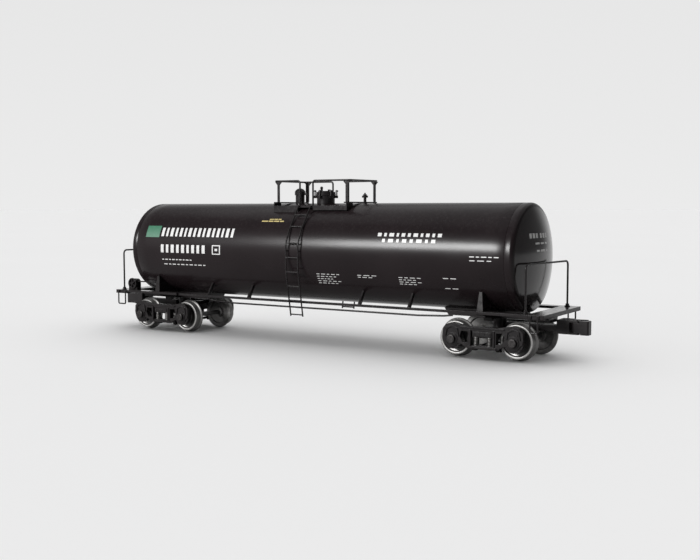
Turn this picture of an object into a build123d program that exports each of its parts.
from build123d import *
import os
import math

os.makedirs("parts", exist_ok=True)

# ------------------------------------------------------------------
# Model tank wagon, O gauge (1:48), all sizes in millimetres.
# X runs along the wagon, +Z is up, z = 0 is the bottom of the wheel flanges.
# End "a" is the -X (brake wheel) end, end "b" is the +X end.
# ------------------------------------------------------------------

# wheels and trucks
TREAD_R = 9.6            # wheel tread radius
FLANGE_R = 10.8          # flange radius
AXLE_Z = FLANGE_R        # axle height
WHEEL_Y0 = 14.2          # wheel back face
WHEEL_Y1 = 19.3          # wheel rim face
TRUCK_X = 118.1          # truck centre from wagon centre
HALF_BASE = 18.15        # half the truck wheelbase
AXLE_R = 1.5
JOURNAL_R = 1.0
RUN = 0.05               # radial running clearance
FRAME_Y0 = 20.5          # side frame inner face
FRAME_Y1 = 24.0          # side frame outer face

# tank
TANK_R = 30.25
TANK_WALL = 1.5
TANK_Z = 55.6
BARREL_X = 133.0         # half length of the barrel
HEAD_X = 137.3           # start of the dished part
TIP_X = 143.5            # crown of the head
FIT = 0.02               # gap between the tank and the castings that cradle it

# underframe and end platforms
SILL_Z0 = 21.8
DECK_Z0 = 24.8
DECK_Z1 = 27.1
WALK_Z0 = 25.6           # underside of the side boards
HALF_W = 28.6
END_X = 155.0
SIDE_X0 = 99.5

# top walkway
TOP_CX = 0.8
TOP_Z = 86.0             # underside of the raised end strips
DECK_TOP = 84.4          # top of the deck strips
POST_X0, POST_X1 = -25.3, 26.9
POST_Y = 16.2
RAIL_Z = 99.6
WIRE_R = 0.55


def save(name, shape):
    shape.label = name
    export_step(shape, f"parts/{name}.step")


def group(solids):
    return Compound(children=list(solids))


def bx(x0, x1, y0, y1, z0, z1):
    return Pos((x0 + x1) / 2, (y0 + y1) / 2, (z0 + z1) / 2) * Box(x1 - x0, y1 - y0, z1 - z0)


def cz(x, y, z0, z1, r):
    return Pos(x, y, (z0 + z1) / 2) * Cylinder(r, z1 - z0)


def cy(x, z, y0, y1, r):
    return Pos(x, (y0 + y1) / 2, z) * Rot(90, 0, 0) * Cylinder(r, abs(y1 - y0))


def cx(y, z, x0, x1, r):
    return Pos((x0 + x1) / 2, y, z) * Rot(0, 90, 0) * Cylinder(r, abs(x1 - x0))


def prism_y(pts, y0, y1):
    pl = Plane(origin=(0, y0, 0), x_dir=(1, 0, 0), z_dir=(0, -1, 0))
    return extrude(pl * make_face(Polyline(*pts, close=True)), amount=-(y1 - y0))


def prism_x(pts, x0, x1):
    pl = Plane(origin=(x0, 0, 0), x_dir=(0, 1, 0), z_dir=(1, 0, 0))
    return extrude(pl * make_face(Polyline(*pts, close=True)), amount=x1 - x0)


def prism_z(pts, z0, z1):
    pl = Plane(origin=(0, 0, z0), x_dir=(1, 0, 0), z_dir=(0, 0, 1))
    return extrude(pl * make_face(Polyline(*pts, close=True)), amount=z1 - z0)


def wire(pts, radius, r):
    path = FilletPolyline(*pts, radius=radius)
    prof = Plane(origin=path @ 0, z_dir=path % 0) * Circle(r)
    return sweep(prof, path=path)


def turn(shape):
    """The same piece at the other end of the wagon (half a turn about Z)."""
    return Rot(0, 0, 180) * shape


def solid_of(shape):
    """The single solid held by a boolean result."""
    s = shape.solids()
    return s[0] if len(s) == 1 else shape


# ------------------------------------------------------------------
# Tank
# ------------------------------------------------------------------
tank_env = cx(0, TANK_Z, -BARREL_X - 5, BARREL_X + 5, TANK_R + FIT)

barrel = cx(0, TANK_Z, -BARREL_X, BARREL_X, TANK_R)
barrel -= cx(0, TANK_Z, -BARREL_X - 1, BARREL_X + 1, TANK_R - TANK_WALL)
barrel = solid_of(barrel)


def head_solid(r, x0, x1, tip, knuckle):
    """Dished end: straight flange, rolled knuckle, shallow crown."""
    rc = (r * r + (tip - x1) ** 2) / (2 * (tip - x1))
    a = math.asin(r / rc) / 2
    mid = (tip - rc + rc * math.cos(a), rc * math.sin(a))
    prof = make_face([Line((x0, 0), (x0, r)), Line((x0, r), (x1, r)),
                      ThreePointArc((x1, r), mid, (tip, 0)), Line((tip, 0), (x0, 0))])
    corner = [v for v in prof.vertices() if abs(v.X - x1) < 1e-3 and abs(v.Y - r) < 1e-3]
    prof = fillet(corner, knuckle)
    pl = Plane(origin=(0, 0, TANK_Z), x_dir=(1, 0, 0), z_dir=(0, -1, 0))
    return revolve(pl * prof, axis=Axis((0, 0, TANK_Z), (1, 0, 0)))


head = head_solid(TANK_R, BARREL_X, HEAD_X, TIP_X, 2.2)
head += cx(0, TANK_Z, BARREL_X - 4.0, BARREL_X + 1.0, TANK_R - TANK_WALL - 0.05)
head -= head_solid(TANK_R - 2 * TANK_WALL, BARREL_X - 6.0, HEAD_X - 0.3, TIP_X - 1.6, 2.0)
head = solid_of(head)
head_env = head_solid(TANK_R + FIT, 100.0, HEAD_X + FIT, TIP_X + FIT, 2.2)

ballast = bx(-60, 60, -15, 15, 31.12, 35.2)
for hx in (-45, 45):
    ballast -= cz(hx, 0, 30, 36, 1.6)
ballast = solid_of(ballast)

# ------------------------------------------------------------------
# Underframe casting (end b): stub sill, body bolster with saddle webs,
# centre plate and striker
# ------------------------------------------------------------------
T = TRUCK_X
sill = prism_y([(86.0, 27.5), (89.4, SILL_Z0), (149.5, SILL_Z0), (149.5, DECK_Z0), (143.0, DECK_Z0), (143.0, 24.0), (133.5, 24.0), (133.5, 27.5)], -7.0, 7.0)
striker = prism_y([(143.0, DECK_Z0), (147.0, 23.6), (151.2, 21.0), (143.0, 21.0)], -5.5, 5.5)
web = [(-27.0, 24.0), (-9.0, SILL_Z0), (9.0, SILL_Z0), (27.0, 24.0), (27.0, 27.6), (25.9, 37.6), (-25.9, 37.6), (-27.0, 27.6)]
plate = [(-27.0, 24.0), (-9.0, SILL_Z0), (9.0, SILL_Z0), (27.0, 24.0), (27.0, 24.9), (9.0, 22.9), (-9.0, 22.9), (-27.0, 24.9)]
# each saddle web tapers from the bolster up to the shell
taper = prism_y([(T - 1.9, 20.0), (T + 1.9, 20.0), (T + 1.9, 27.2), (T + 0.8, 38.0), (T - 0.8, 38.0), (T - 1.9, 27.2)], -30.0, 30.0)
under = sill + striker + (prism_x(web, T - 1.9, T + 1.9) & taper) + prism_x(plate, T - 3.0, T + 3.0)
under += cz(T, 0, 18.05, SILL_Z0 + 0.5, 4.0)
under += bx(T - 8.0, T + 8.0, -7.0, 7.0, SILL_Z0, 24.0)
# side bearers over the truck bolster ends
for s in (-1, 1):
    under += bx(T - 2.4, T + 2.4, s * 15.0 - 1.6, s * 15.0 + 1.6, 21.0, 23.5)
under -= tank_env
under -= head_env
under -= cz(T, 0, 17.5, 24.6, 1.25)
under = solid_of(under)

# end board with a rolled front lip
end_board = bx(145.0, END_X, -HALF_W, HALF_W, DECK_Z0, DECK_Z1)
end_board -= bx(146.2, END_X - 1.0, -HALF_W + 1.0, HALF_W - 1.0, DECK_Z0 - 1, DECK_Z1 - 1.1)
end_board += bx(143.0, END_X - 0.5, -6.9, 6.9, DECK_Z0, DECK_Z1 - 0.6)
end_board -= head_env
end_board = solid_of(end_board)


def side_walk(s):
    """Side board from the end board to the truck centre; notched round the bolster."""
    w = bx(SIDE_X0, 145.0, 22.5, HALF_W, WALK_Z0, DECK_Z1)
    w -= bx(SIDE_X0 + 1, T - 4.2, 23.5, HALF_W - 1.0, WALK_Z0 - 1, DECK_Z1 - 0.8)
    w -= bx(T + 4.2, 144.0, 23.5, HALF_W - 1.0, WALK_Z0 - 1, DECK_Z1 - 0.8)
    w -= bx(T - 1.95, T + 1.95, 20, 27.05, WALK_Z0 - 1, DECK_Z1 + 1)
    w = solid_of(w)
    return w if s > 0 else mirror(w, about=Plane.XZ)


walk_far = side_walk(1)
walk_near = side_walk(-1)


def step(s, x0, x1):
    y = s * (HALF_W + 0.45)
    w = wire([(x0, y, 26.6), (x0, y, 17.7), (x1, y, 17.7), (x1, y, 26.6)], 0.9, 0.45)
    for x in (x0, x1):
        w += bx(x - 0.7, x + 0.7, min(s * HALF_W, s * (HALF_W + 0.7)), max(s * HALF_W, s * (HALF_W + 0.7)), 25.2, 26.7)
    return solid_of(w)


steps_b = [step(-1, 147.6, 151.9), step(1, 147.6, 151.9)]
steps_a = [turn(step(-1, 145.9, 152.3)), turn(step(1, 145.9, 152.3))]


def handrail(near_x, far_x, z):
    """Wire rail across the end, with a foot flange on each post."""
    n, f = (near_x, -24.5), (far_x, 24.5)
    w = wire([(n[0], n[1], DECK_Z1), (n[0], n[1], z), (f[0], f[1], z), (f[0], f[1], DECK_Z1)], 2.4, WIRE_R)
    for p in (n, f):
        w += cz(p[0], p[1], DECK_Z1, DECK_Z1 + 1.6, 1.05)
        w += cz(p[0], p[1], DECK_Z1, DECK_Z1 + 0.5, 1.6)
    return solid_of(w)


rail_b = handrail(143.3, 148.6, 53.0)
rail_a = handrail(-151.2, -146.2, 54.2)

# ------------------------------------------------------------------
# Side rails under the tank, train pipe
# ------------------------------------------------------------------


def side_rail(s):
    r = bx(-SIDE_X0, SIDE_X0, 25.9, 27.1, 25.5, 26.9)
    for x in (-74.0, -41.0, 41.0, 74.0):
        r += prism_x([(27.1, 25.5), (27.1, 26.9), (21.0, 36.0), (19.6, 35.0), (25.0, 25.5)], x - 0.6, x + 0.6)
    r -= tank_env
    r = solid_of(r)
    return r if s > 0 else mirror(r, about=Plane.XZ)


side_rail_far = side_rail(1)
side_rail_near = side_rail(-1)

pipe = wire([(-91.5, -6, 21.6), (-86, -6, 20.9), (-69, -6, 20.2), (69, -6, 20.2), (86, -6, 20.9), (91.5, -6, 21.6)], 12.0, 0.55)
pipe -= under
pipe -= turn(under)
pipe = solid_of(pipe)

# ------------------------------------------------------------------
# Top walkway, posts, rails
# ------------------------------------------------------------------
DX0, DX1, DY = -27.0, 26.9, 17.6
deck = bx(DX0, DX1, -DY, -9.6, DECK_TOP - 1.2, DECK_TOP) + bx(DX0, DX1, 9.6, DY, DECK_TOP - 1.2, DECK_TOP)
for x0, x1, e0, e1 in ((DX0, DX0 + 2.0, DX0, DX0 + 0.5), (DX1 - 2.0, DX1, DX1 - 0.5, DX1)):
    deck += bx(x0, x1, -DY, DY, TOP_Z - 0.1, TOP_Z + 0.7)
    deck += bx(e0, e1, -DY, -10.6, DECK_TOP - 0.6, TOP_Z) + bx(e0, e1, 10.6, DY, DECK_TOP - 0.6, TOP_Z)
for s in (-1, 1):
    for x0, x1, drop in ((DX0, -8.6 if s < 0 else -6.2, 7.0), (2.4 if s < 0 else 4.6, DX1, 4.4)):
        deck += bx(x0, x1, min(s * DY, s * (DY - 0.9)), max(s * DY, s * (DY - 0.9)), TOP_Z - drop, DECK_TOP - 0.6)
    for x, drop in ((DX0 + 1.0, 7.0), (-12.0, 7.0), (8.0, 4.4), (DX1 - 1.0, 4.4)):
        deck += bx(x - 0.5, x + 0.5, min(s * 10, s * DY), max(s * 10, s * DY), TOP_Z - drop, DECK_TOP - 0.6)
deck -= tank_env
deck = solid_of(deck)


def post(x, y, sx, sy):
    """Angle-section post with a gusset under the rail; the corner of the angle is at (x, y)."""
    leg, t, z1 = 1.7, 0.45, RAIL_Z - WIRE_R
    p = bx(min(x, x - sx * leg), max(x, x - sx * leg), min(y, y - sy * t), max(y, y - sy * t), TOP_Z + 0.7, z1)
    p += bx(min(x, x - sx * t), max(x, x - sx * t), min(y, y - sy * leg), max(y, y - sy * leg), TOP_Z + 0.7, z1)
    p += prism_y([(x - sx * 1.6, z1), (x - sx * 3.4, z1), (x - sx * 1.6, z1 - 2.0)], min(y, y - sy * t), max(y, y - sy * t))
    p += prism_y([(x - sx * 0.1, z1), (x + sx * 1.7, z1), (x - sx * 0.1, z1 - 2.0)], min(y, y - sy * t), max(y, y - sy * t))
    return solid_of(p)


posts = [post(POST_X0, -POST_Y, -1, -1), post(POST_X1, -POST_Y, 1, -1), post(POST_X0, POST_Y, -1, 1), post(POST_X1, POST_Y, 1, 1)]
RY = POST_Y - 0.15
RX0, RX1 = POST_X0 - 1.9, POST_X1 + 1.2
top_rail_left = wire([(-8.1, -RY, DECK_TOP), (-8.1, -RY, RAIL_Z), (RX0, -RY, RAIL_Z), (RX0, RY, RAIL_Z), (-5.0, RY, RAIL_Z), (-5.0, RY, DECK_TOP)], 1.6, WIRE_R)
top_rail_right = wire([(1.6, -RY, DECK_TOP), (1.6, -RY, RAIL_Z), (RX1, -RY, RAIL_Z), (RX1, RY, RAIL_Z), (5.4, RY, RAIL_Z), (5.4, RY, DECK_TOP)], 1.6, WIRE_R)
top_rail_left, top_rail_right = solid_of(top_rail_left), solid_of(top_rail_right)

# ------------------------------------------------------------------
# Top fittings
# ------------------------------------------------------------------
MX, MR = 0.3, 5.6
nozzle = cz(MX, 0, 83.0, 91.6, MR) + cz(MX, 0, 90.6, 91.6, 6.2)
for i in range(6):
    a = math.radians(30 + 60 * i)
    nozzle += Pos(MX, 0, 0) * Rot(0, 0, math.degrees(a)) * bx(5.2, 7.6, -0.8, 0.8, 89.0, 90.6)
nozzle -= cz(MX, 0, 86.6, 92.0, 4.7)
nozzle -= tank_env
nozzle = solid_of(nozzle)
cover = cz(MX, 0, 91.6, 92.9, 6.1)
cover += cz(MX, 0, 92.9, 93.5, 4.9)
cover += cz(MX - 3.2, 0, 93.4, 95.2, 0.75) + Pos(MX - 3.2, 0, 95.4) * Sphere(0.95)
cover += cz(MX + 2.4, 0, 93.4, 94.4, 0.9)
cover = solid_of(cover)
eyebolts = []
for i in range(6):
    a = math.radians(30 + 60 * i)
    ex, ey = MX + 6.8 * math.cos(a), 6.8 * math.sin(a)
    e = cz(ex, ey, 90.6, 94.1, 0.4) + Pos(ex, ey, 93.4) * extrude(RegularPolygon(1.0, 6), amount=0.4, both=True)
    eyebolts.append(solid_of(e))

VX = -19.4
valve = cz(VX, 0, 83.0, 91.0, 2.9) - tank_env
valve += cz(VX, 0, 91.0, 93.2, 3.4)
dome = Pos(VX, 0, 91.65) * Sphere(3.73)
valve += dome & bx(VX - 4, VX + 4, -4, 4, 93.1, 96.0)
valve += bx(VX + 3.0, VX + 5.4, -0.6, 0.6, 91.3, 92.2) + bx(VX + 4.7, VX + 5.4, -0.6, 0.6, 90.2, 92.2)
valve = solid_of(valve)

UX = 28.9
vac = cz(UX, 0, 84.0, 89.6, 0.9) - tank_env
vac += cz(UX, 0, 89.2, 90.4, 1.85) + cz(UX, 0, 90.4, 91.2, 1.2) + cz(UX, 0, 91.2, 92.1, 0.5)
vac += cz(UX, 0, 85.95, 86.7, 1.5)
vac = solid_of(vac)

# ------------------------------------------------------------------
# Ladders over each side of the tank
# ------------------------------------------------------------------
STILE = [(-27.0, 17.4), (-31.95, 46.0), (-31.95, 61.0), (-28.4, 69.6), (-18.2, 84.3)]


def ladder(xc, s):
    h = 4.45
    out = None
    for x in (xc - h, xc + h):
        w = wire([(x, y, z) for y, z in STILE], 5.0, 0.45)
        out = w if out is None else out + w
    for z in (18.4, 27.1, 35.8, 44.5, 53.2, 61.9):
        y = -31.95 if z > 46 else -27.0 - (z - 17.4) / 28.6 * 4.95
        if z > 61:
            y = -31.6
        out += cx(y, z, xc - h, xc + h, 0.4)
    for t in (0.15, 0.62):
        y, z = -28.4 + 10.2 * t, 69.6 + 14.7 * t
        out += cx(y, z, xc - h, xc + h, 0.4)
    for x in (xc - h, xc + h):
        out += cy(x, 57.2, -31.95, -30.0, 0.35)
        out += cy(x, 26.2, -28.5, -27.1, 0.4)
    out -= tank_env
    if s > 0:
        out = mirror(out, about=Plane.XZ)
    out -= deck
    return solid_of(out)


ladder_near = ladder(-3.15, -1)
ladder_far = ladder(-0.7, 1)

# ------------------------------------------------------------------
# Hand brake at end a
# ------------------------------------------------------------------
BX, BZ = -145.0, 31.3
housing = bx(-149.2, -141.4, -22.4, -18.6, DECK_Z1, 34.4)
housing = fillet(housing.edges().filter_by(Axis.Y).group_by(Axis.Z)[-1], 2.6)
housing -= cy(BX, BZ, -23.0, -19.4, 0.6 + RUN)
housing += cx(-21.0, 32.7, -141.6, -121.1, 0.4)
housing = solid_of(housing)
bw = cy(BX, BZ, -23.5, -22.7, 3.7) - cy(BX, BZ, -24.0, -22.0, 2.9)
for i in range(5):
    bw += Pos(BX, -23.1, BZ) * Rot(0, 36 + 72 * i, 0) * Pos(1.7, 0, 0) * Box(2.9, 0.6, 0.6)
bw += cy(BX, BZ, -23.8, -22.6, 1.0)
bw += cy(BX, BZ, -22.8, -19.6, 0.6)
bw = solid_of(bw)

# ------------------------------------------------------------------
# Truck at end b, with coupler; end a is the same turned half round
# ------------------------------------------------------------------
bolster = bx(T - 5.2, T + 5.2, -20.4, 20.4, 11.8, 15.8)
for s in (-1, 1):
    bolster += bx(T - 5.9, T + 5.9, min(s * 20.4, s * 23.6), max(s * 20.4, s * 23.6), 12.6, 15.95)
    bolster += bx(T - 2.6, T + 2.6, s * 15.0 - 1.8, s * 15.0 + 1.8, 15.8, 17.6)
    bolster += bx(T - 5.3, T + 5.3, min(s * 23.6, s * 24.1), max(s * 23.6, s * 24.1), 13.2, 15.4)
bolster += cz(T, 0, 15.8, 18.0, 3.9)
bolster -= cz(T, 0, 11, 19, 1.25 + RUN)
for s in (-1, 1):
    bolster -= bx(T - 3.4, T + 3.4, s * 9.0 - 3.2, s * 9.0 + 3.2, 11, 13.6)
bolster = solid_of(bolster)

screw = cz(T, 0, 11.7, 24.4, 1.25) + cz(T, 0, 10.2, 11.7, 2.4)
screw -= bx(T - 2.5, T + 2.5, -0.3, 0.3, 10.0, 10.7)
screw = solid_of(screw)


def side_frame(s):
    """Cast side frame with pedestals, spring window and brake lugs."""
    half = [(23.9, 12.5), (23.6, 16.4), (21.6, 18.9), (18.15, 19.8), (14.6, 19.2), (9.0, 18.2)]
    low = [(23.4, 10.0), (21.4, 8.8), (15.0, 8.8), (12.2, 8.2), (8.6, 6.0)]
    top = [(T + x, z) for x, z in half] + [(T - x, z) for x, z in reversed(half)]
    bot = [(T - x, z) for x, z in low] + [(T + x, z) for x, z in reversed(low)]
    y0, y1 = FRAME_Y0, FRAME_Y1
    f = prism_y(top + bot, y0, y1)
    for e in (-1, 1):
        xa = T + e * HALF_BASE
        f += cy(xa, AXLE_Z, y0, y1 - 0.6, 5.7)
        f += cy(xa, AXLE_Z, y0, y1, 4.3)
        f += cy(xa, AXLE_Z, y1 - 0.2, y1 + 0.45, 3.4)
        f += prism_y([(xa - 4.4, 12.4), (xa - 3.6, 17.0), (xa, 18.6), (xa + 3.6, 17.0), (xa + 4.4, 12.4), (xa + 3.4, 12.4), (xa + 2.8, 16.2), (xa, 17.5), (xa - 2.8, 16.2), (xa - 3.4, 12.4)], y1 - 0.2, y1 + 0.6)
        win = [(T + e * 8.3, 9.2), (T + e * 8.3, 15.4), (T + e * 12.4, 15.6), (T + e * 13.4, 12.6), (T + e * 11.6, 9.4)]
        f -= prism_y(win, y0 - 1, y1 + 1)
        f += bx(T + min(e * 6.5, e * 7.5), T + max(e * 6.5, e * 7.5), y1 - 0.2, y1 + 0.6, 7.6, 16.6)
    f += bx(T - 13.0, T + 13.0, y1 - 0.2, y1 + 0.6, 17.2, 18.1)
    f += bx(T - 8.4, T + 8.4, y1 - 0.2, y1 + 0.6, 6.2, 7.4)
    f -= bx(T - 6.4, T + 6.4, y0 - 1, y1 + 1, 8.0, 16.0)
    for e in (-1, 1):
        f -= cy(T + e * HALF_BASE, AXLE_Z, y0 - 1, y1 + 1, JOURNAL_R + RUN)
    f = solid_of(f)
    return f if s > 0 else mirror(f, about=Plane.XZ)


frame_far = side_frame(1)
frame_near = side_frame(-1)


def spring(x, y):
    """Coil spring drawn as a ribbed column between the spring seat and the bolster."""
    z0, z1, n = 8.0, 12.6, 5
    pitch = (z1 - z0) / n
    s = cz(x, y, z0, z1, 1.1)
    for i in range(n):
        zc = z0 + pitch * (i + 0.5)
        s += Pos(x, y, zc) * Torus(1.35, 0.38)
    return solid_of(s)


springs = [spring(T + e * 4.0, s * 22.1) for e in (-1, 1) for s in (-1, 1)]


def axle(xa):
    a = cy(xa, AXLE_Z, -19.7, 19.7, AXLE_R)
    a += cy(xa, AXLE_Z, -25.5, 25.5, JOURNAL_R)
    return solid_of(a)


def wheel(xa, s):
    """Turned wheel: flange at the back, dished web, raised hub."""
    pts = [(AXLE_R, 13.9), (3.4, 13.9), (3.4, 15.2), (7.9, 15.2), (8.3, WHEEL_Y0), (FLANGE_R - 0.3, WHEEL_Y0),
           (FLANGE_R, WHEEL_Y0 + 0.35), (FLANGE_R - 0.15, WHEEL_Y0 + 0.95), (TREAD_R + 0.1, WHEEL_Y0 + 1.5), (TREAD_R, WHEEL_Y0 + 2.0),
           (TREAD_R - 0.12, WHEEL_Y1 - 0.3), (TREAD_R - 0.4, WHEEL_Y1), (8.2, WHEEL_Y1), (7.6, WHEEL_Y1 - 1.2), (3.9, WHEEL_Y1 - 1.9),
           (3.2, WHEEL_Y1 + 0.2), (AXLE_R, WHEEL_Y1 + 0.2)]
    pl = Plane(origin=(xa, 0, AXLE_Z), x_dir=(1, 0, 0), z_dir=(0, 0, 1))
    prof = pl * make_face(Polyline(*[(r, s * y) for r, y in pts], close=True))
    return solid_of(revolve(prof, axis=Axis((xa, 0, AXLE_Z), (0, 1, 0))))


def cap(xa, s):
    """Rotating bearing end cap with three cap screws."""
    y0, y1 = 24.6, 25.9
    c = cy(xa, AXLE_Z, s * y0, s * y1, 2.35)
    c = fillet(c.edges().filter_by(GeomType.CIRCLE).sort_by(Axis.Y)[-1 if s > 0 else 0], 0.35)
    for i in range(3):
        a = math.radians(90 + 120 * i)
        c += cy(xa + 1.35 * math.cos(a), AXLE_Z + 1.35 * math.sin(a), s * (y1 - 0.1), s * (y1 + 0.25), 0.42)
    c -= cy(xa, AXLE_Z, s * (y0 - 0.5), s * 25.5, JOURNAL_R)
    return solid_of(c)


XO, XI = T + HALF_BASE, T - HALF_BASE      # outer and inner axle of truck b

rig = bx(T - 7.3, T - 5.9, -18.6, 18.6, 5.2, 6.8) + bx(T + 5.9, T + 7.3, -18.6, 18.6, 5.2, 6.8)
for s in (-1, 1):
    rig += bx(T - 6.0, T + 6.0, s * 6.5 - 0.6, s * 6.5 + 0.6, 5.4, 6.6)
    rig += bx(T - 1.0, T + 1.0, s * 4.4 - 0.6 if s > 0 else s * 4.4 - 0.6, s * 4.4 + 0.6, 5.4, 11.8)
    rig += bx(T - 1.0, T + 1.0, min(s * 4.0, s * 6.6), max(s * 4.0, s * 6.6), 5.4, 6.6)
    for e in (-1, 1):
        rig += prism_y([(T + e * 6.0, 4.4), (T + e * 6.0, 8.0), (T + e * 7.5, 8.0), (T + e * 8.5, 4.4)],
                       min(s * 15.9, s * 18.6), max(s * 15.9, s * 18.6))
for e in (-1, 1):
    rig -= cy(T + e * HALF_BASE, AXLE_Z, -20, 20, FLANGE_R + 0.25)
rig = solid_of(rig)

# coupler: heel on the bolster, shank, head with guard arm and knuckle lugs
CX0 = T + 35.4
KX, KY = T + 45.4, -3.4
SZ0, SZ1 = 15.9, 19.4
HZ0, HZ1 = 15.2, 22.7
coup = bx(T + 5.2, T + 9.2, -3.2, 3.2, 12.2, SZ1) + bx(T + 9.0, CX0 + 0.5, -3.2, 3.2, SZ0, SZ1)
coup += bx(CX0, T + 42.4, -5.5, 5.5, HZ0, HZ1)
coup += prism_z([(T + 42.0, 5.5), (T + 42.0, 3.2), (T + 46.6, 3.3), (T + 48.4, 4.2), (T + 49.3, 5.9), (T + 48.6, 6.3), (T + 46.4, 5.8)], HZ0 + 0.3, HZ1 - 0.3)
lug = [(T + 42.0, -5.5), (T + 47.0, -5.5), (T + 47.7, -4.6), (T + 47.7, -2.2), (T + 46.6, -1.1), (T + 42.0, -1.1)]
coup += prism_z(lug, HZ0, HZ0 + 1.0) + prism_z(lug, HZ1 - 1.0, HZ1)
coup -= cz(KX, KY, HZ0 - 1, HZ1 + 1, 0.8)
AX = T + 38.9
coup -= cz(AX, 0, HZ0 - 1, HZ0 + 0.8, 2.2 + RUN)
coup -= cz(AX, 0, HZ0, 19.3, 0.6 + RUN)
coup = solid_of(coup)
kn = prism_z([(KX, -5.5), (T + 52.2, -5.5), (T + 53.0, -4.8), (T + 53.1, -1.0), (T + 51.9, 0.2), (T + 50.6, -0.8), (T + 50.3, -2.7), (T + 47.9, -2.7), (KX + 1.2, -1.6)], HZ0 + 1.06, HZ1 - 1.06)
nose = prism_z([(T + 48.6, -5.5), (T + 52.2, -5.5), (T + 53.0, -4.8), (T + 53.1, -1.0), (T + 51.9, 0.2), (T + 50.8, -0.8), (T + 50.6, -2.9), (T + 48.6, -3.4)], HZ0, HZ1)
nose -= cz(KX, KY, HZ0 - 1, HZ1 + 1, 3.0)
kn += nose
kn += cz(KX, KY, HZ0 + 1.06, HZ1 - 1.06, 2.15)
kn -= cz(KX, KY, HZ0, HZ1, 0.8 + RUN)
kn = solid_of(kn)
kpin = solid_of(cz(KX, KY, HZ0 + 0.1, HZ1, 0.8) + cz(KX, KY, HZ1, HZ1 + 0.4, 1.25))
arm = solid_of(cz(AX, 0, HZ0, HZ0 + 0.75, 2.2) + cz(AX, 0, HZ0 + 0.7, 19.0, 0.6))

# ------------------------------------------------------------------
# Write every node
# ------------------------------------------------------------------
save("tank_barrel", barrel)
save("tank_head_b", head)
save("tank_head_a", turn(head))
save("ballast_weight", ballast)
save("underframe_b", under)
save("underframe_a", turn(under))
save("end_board_b", end_board)
save("end_board_a", turn(end_board))
save("side_walks_b", group([walk_near, walk_far]))
save("side_walks_a", group([turn(walk_near), turn(walk_far)]))
save("corner_steps", group(steps_b + steps_a))
save("end_handrail_b", rail_b)
save("end_handrail_a", rail_a)
save("side_rail_near", side_rail_near)
save("side_rail_far", side_rail_far)
save("train_pipe", pipe)
save("top_walkway", deck)
save("walkway_posts", group(posts))
save("top_rail_left", top_rail_left)
save("top_rail_right", top_rail_right)
save("manway_nozzle", nozzle)
save("manway_cover", cover)
save("manway_bolts", group(eyebolts))
save("valve_housing", valve)
save("vacuum_valve", vac)
save("ladder_near", ladder_near)
save("ladder_far", ladder_far)
save("brake_housing", housing)
save("brake_wheel", bw)
save("truck_screws", group([screw, turn(screw)]))
for end, tr in (("b", lambda s: s), ("a", turn)):
    save(f"truck_bolster_{end}", tr(bolster))
    save(f"side_frame_near_{end}", tr(frame_near) if end == "b" else turn(frame_far))
    save(f"side_frame_far_{end}", tr(frame_far) if end == "b" else turn(frame_near))
    save(f"spring_set_{end}", group([tr(s) for s in springs]))
    save(f"brake_rigging_{end}", tr(rig))
    save(f"coupler_{end}", tr(coup))
    save(f"knuckle_{end}", tr(kn))
    save(f"knuckle_pin_{end}", tr(kpin))
    save(f"uncoupling_plate_{end}", tr(arm))
    for pos, xa in (("outer", XO), ("inner", XI)):
        save(f"axle_{pos}_{end}", tr(axle(xa)))
        save(f"wheels_{pos}_{end}", group([tr(wheel(xa, -1)), tr(wheel(xa, 1))]))
        save(f"bearing_caps_{pos}_{end}", group([tr(cap(xa, -1)), tr(cap(xa, 1))]))
